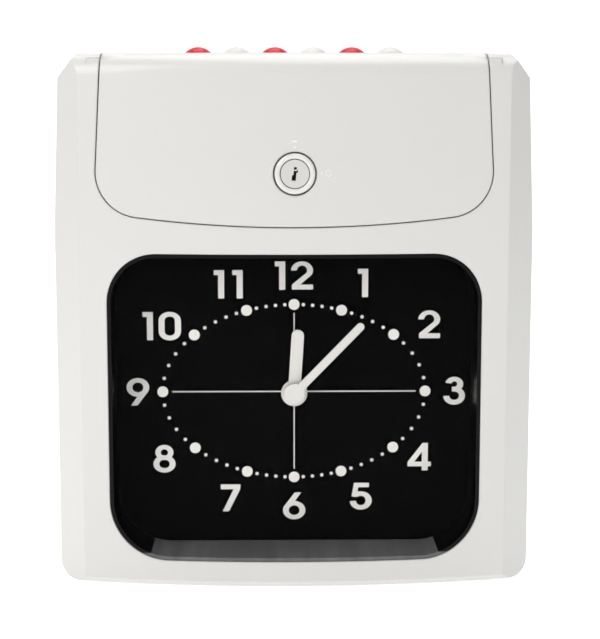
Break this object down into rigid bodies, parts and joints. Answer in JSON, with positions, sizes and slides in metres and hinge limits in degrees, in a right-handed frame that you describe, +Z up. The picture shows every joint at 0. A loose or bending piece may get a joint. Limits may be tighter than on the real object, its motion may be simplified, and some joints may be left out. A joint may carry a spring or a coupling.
{
  "type": "punch time clock",
  "caption": "Upright time recorder: dial clock behind a clear window, lockable printer door above it, domed function keys and a card slot on top.",
  "frame": {"origin": "on the table, under the middle of the whole object's box", "axes": "+Z up, -Y out of the front face, +X to the right as the front is seen"},
  "size_m": [0.218, 0.1308, 0.245],
  "materials": {
    "case_plastic": "fine satin moulded shell plastic, light warm grey",
    "rubber_black": "soft black rubber",
    "screw_steel": "zinc-plated steel",
    "lock_trim": "smooth off-white moulded ring",
    "lock_metal": "nickel-plated zinc casting",
    "lock_face": "pale satin plug",
    "key_red": "glossy red cap",
    "key_white": "glossy white cap",
    "board_green": "solder-masked circuit board",
    "switch_black": "black switch housing",
    "surround_black": "glossy black tray",
    "lens_clear": "clear polished acrylic",
    "dial_black": "satin black printed dial",
    "movement_plastic": "natural acetal",
    "coil_copper": "enamelled copper winding",
    "hand_white": "off-white painted aluminium",
    "wheel_brass": "cut brass",
    "frame_steel": "zinc-plated sheet steel",
    "throat_grey": "dark grey plastic",
    "guide_grey": "grey plastic",
    "rod_steel": "ground steel rod",
    "mech_black": "black engineering plastic",
    "motor_steel": "plated motor can",
    "pulley_white": "white acetal",
    "ribbon_ink": "inked nylon ribbon",
    "transformer_iron": "varnished laminations and tape",
    "battery_blue": "shrink-wrapped cells"
  },
  "bodies": {
    "root": {"front_cover": "case_plastic", "rear_housing": "case_plastic", "rear_cover": "case_plastic", "hinge_pins": "screw_steel", "keypad_board": "board_green", "key_switches": "switch_black", "dial_surround": "surround_black", "dial_lens": "lens_clear", "dial_plate": "dial_black", "clock_movement": "movement_plastic", "movement_coil": "coil_copper", "dial_nut": "wheel_brass", "chassis": "frame_steel", "side_plate_left": "frame_steel", "side_plate_right": "frame_steel", "motor_bracket": "frame_steel", "card_throat": "throat_grey", "card_guide_front": "guide_grey", "card_guide_rear": "guide_grey", "platen": "rubber_black", "carriage_rods": "rod_steel", "carriage_belt": "rubber_black", "carriage_motor": "motor_steel", "ribbon_cartridge": "mech_black", "ribbon": "ribbon_ink", "feed_motor": "motor_steel", "main_board": "board_green", "transformer": "transformer_iron", "backup_battery": "battery_blue", "speaker": "mech_black", "power_inlet": "switch_black", "rubber_feet": "rubber_black", "case_screws": "screw_steel"},
    "door": {"access_door": "case_plastic", "lock_bezel": "lock_trim", "lock_barrel": "lock_metal", "lock_nut": "lock_metal"},
    "lock": {"lock_plug": "lock_face", "lock_cam": "screw_steel", "cam_screw": "screw_steel"},
    "minute": {"minute_hand": "hand_white"},
    "hour": {"hour_hand": "hand_white"},
    "minute_wheel": {"minute_wheel": "wheel_brass"},
    "carriage": {"print_carriage": "mech_black", "print_head": "mech_black"},
    "drive": {"drive_pulley": "rod_steel"},
    "idler": {"idler_pulley": "pulley_white"},
    "spool_left": {"ribbon_spool_left": "ribbon_ink"},
    "spool_right": {"ribbon_spool_right": "ribbon_ink"},
    "feed": {"feed_roller": "rubber_black", "feed_gear": "pulley_white"},
    "pinch": {"pinch_roller": "rubber_black"},
    "motor_shaft": {"feed_pinion": "wheel_brass"},
    "key_1": {"key_1": "key_red"},
    "key_2": {"key_2": "key_white"},
    "key_3": {"key_3": "key_red"},
    "key_4": {"key_4": "key_white"},
    "key_5": {"key_5": "key_red"},
    "key_6": {"key_6": "key_white"}
  },
  "joints": [
    {"name": "door_hinge", "type": "hinge", "parent": "root", "child": "door", "pos_m": [0, -0.05055, 0.238], "axis": [-1, 0, 0], "range_deg": [0, 85]},
    {"name": "lock_turn", "type": "hinge", "parent": "door", "child": "lock", "pos_m": [0, -0.06455, 0.1891], "axis": [0, 1, 0], "range_deg": [0, 90]},
    {"name": "minute_hand_turn", "type": "hinge", "parent": "root", "child": "minute", "pos_m": [0, -0.03355, 0.0862], "axis": [0, 1, 0], "continuous": true},
    {"name": "hour_hand_turn", "type": "hinge", "parent": "root", "child": "hour", "pos_m": [0, -0.03355, 0.0862], "axis": [0, 1, 0], "continuous": true},
    {"name": "minute_wheel_turn", "type": "hinge", "parent": "root", "child": "minute_wheel", "pos_m": [-0.00859, -0.02455, 0.09479], "axis": [0, 1, 0], "continuous": true},
    {"name": "carriage_slide", "type": "slide", "parent": "root", "child": "carriage", "axis": [1, 0, 0], "range_m": [-0.025, 0.025]},
    {"name": "drive_pulley_turn", "type": "hinge", "parent": "root", "child": "drive", "pos_m": [0.0425, -0.01355, 0.169], "axis": [0, 1, 0], "range_deg": [-240, 240]},
    {"name": "idler_pulley_turn", "type": "hinge", "parent": "root", "child": "idler", "pos_m": [-0.0425, -0.01355, 0.169], "axis": [0, 1, 0], "range_deg": [-240, 240]},
    {"name": "ribbon_spool_left_turn", "type": "hinge", "parent": "root", "child": "spool_left", "pos_m": [-0.03, -0.03255, 0.196], "axis": [0, 0, 1], "continuous": true},
    {"name": "ribbon_spool_right_turn", "type": "hinge", "parent": "root", "child": "spool_right", "pos_m": [0.03, -0.03255, 0.196], "axis": [0, 0, 1], "continuous": true},
    {"name": "feed_roller_turn", "type": "hinge", "parent": "root", "child": "feed", "pos_m": [0, 0.01095, 0.124], "axis": [1, 0, 0], "continuous": true},
    {"name": "pinch_roller_turn", "type": "hinge", "parent": "root", "child": "pinch", "pos_m": [0, -0.00135, 0.124], "axis": [1, 0, 0], "continuous": true},
    {"name": "feed_motor_turn", "type": "hinge", "parent": "root", "child": "motor_shaft", "pos_m": [0.052, 0.0321, 0.124], "axis": [1, 0, 0], "continuous": true},
    {"name": "key_1_press", "type": "slide", "parent": "root", "child": "key_1", "axis": [0, 0, -1], "range_m": [0, 0.0015], "stiffness_N_per_m": 500},
    {"name": "key_2_press", "type": "slide", "parent": "root", "child": "key_2", "axis": [0, 0, -1], "range_m": [0, 0.0015], "stiffness_N_per_m": 500},
    {"name": "key_3_press", "type": "slide", "parent": "root", "child": "key_3", "axis": [0, 0, -1], "range_m": [0, 0.0015], "stiffness_N_per_m": 500},
    {"name": "key_4_press", "type": "slide", "parent": "root", "child": "key_4", "axis": [0, 0, -1], "range_m": [0, 0.0015], "stiffness_N_per_m": 500},
    {"name": "key_5_press", "type": "slide", "parent": "root", "child": "key_5", "axis": [0, 0, -1], "range_m": [0, 0.0015], "stiffness_N_per_m": 500},
    {"name": "key_6_press", "type": "slide", "parent": "root", "child": "key_6", "axis": [0, 0, -1], "range_m": [0, 0.0015], "stiffness_N_per_m": 500}
  ],
  "couplings": [
    {"joint": "hour_hand_turn", "follows": "minute_hand_turn", "ratio": 0.083333},
    {"joint": "minute_wheel_turn", "follows": "minute_hand_turn", "ratio": -0.33333},
    {"joint": "drive_pulley_turn", "follows": "carriage_slide", "rad_per_m": 166.67},
    {"joint": "idler_pulley_turn", "follows": "carriage_slide", "rad_per_m": 166.67},
    {"joint": "ribbon_spool_right_turn", "follows": "ribbon_spool_left_turn", "ratio": 1},
    {"joint": "pinch_roller_turn", "follows": "feed_roller_turn", "ratio": -1.4},
    {"joint": "feed_motor_turn", "follows": "feed_roller_turn", "ratio": -2.5}
  ]
}
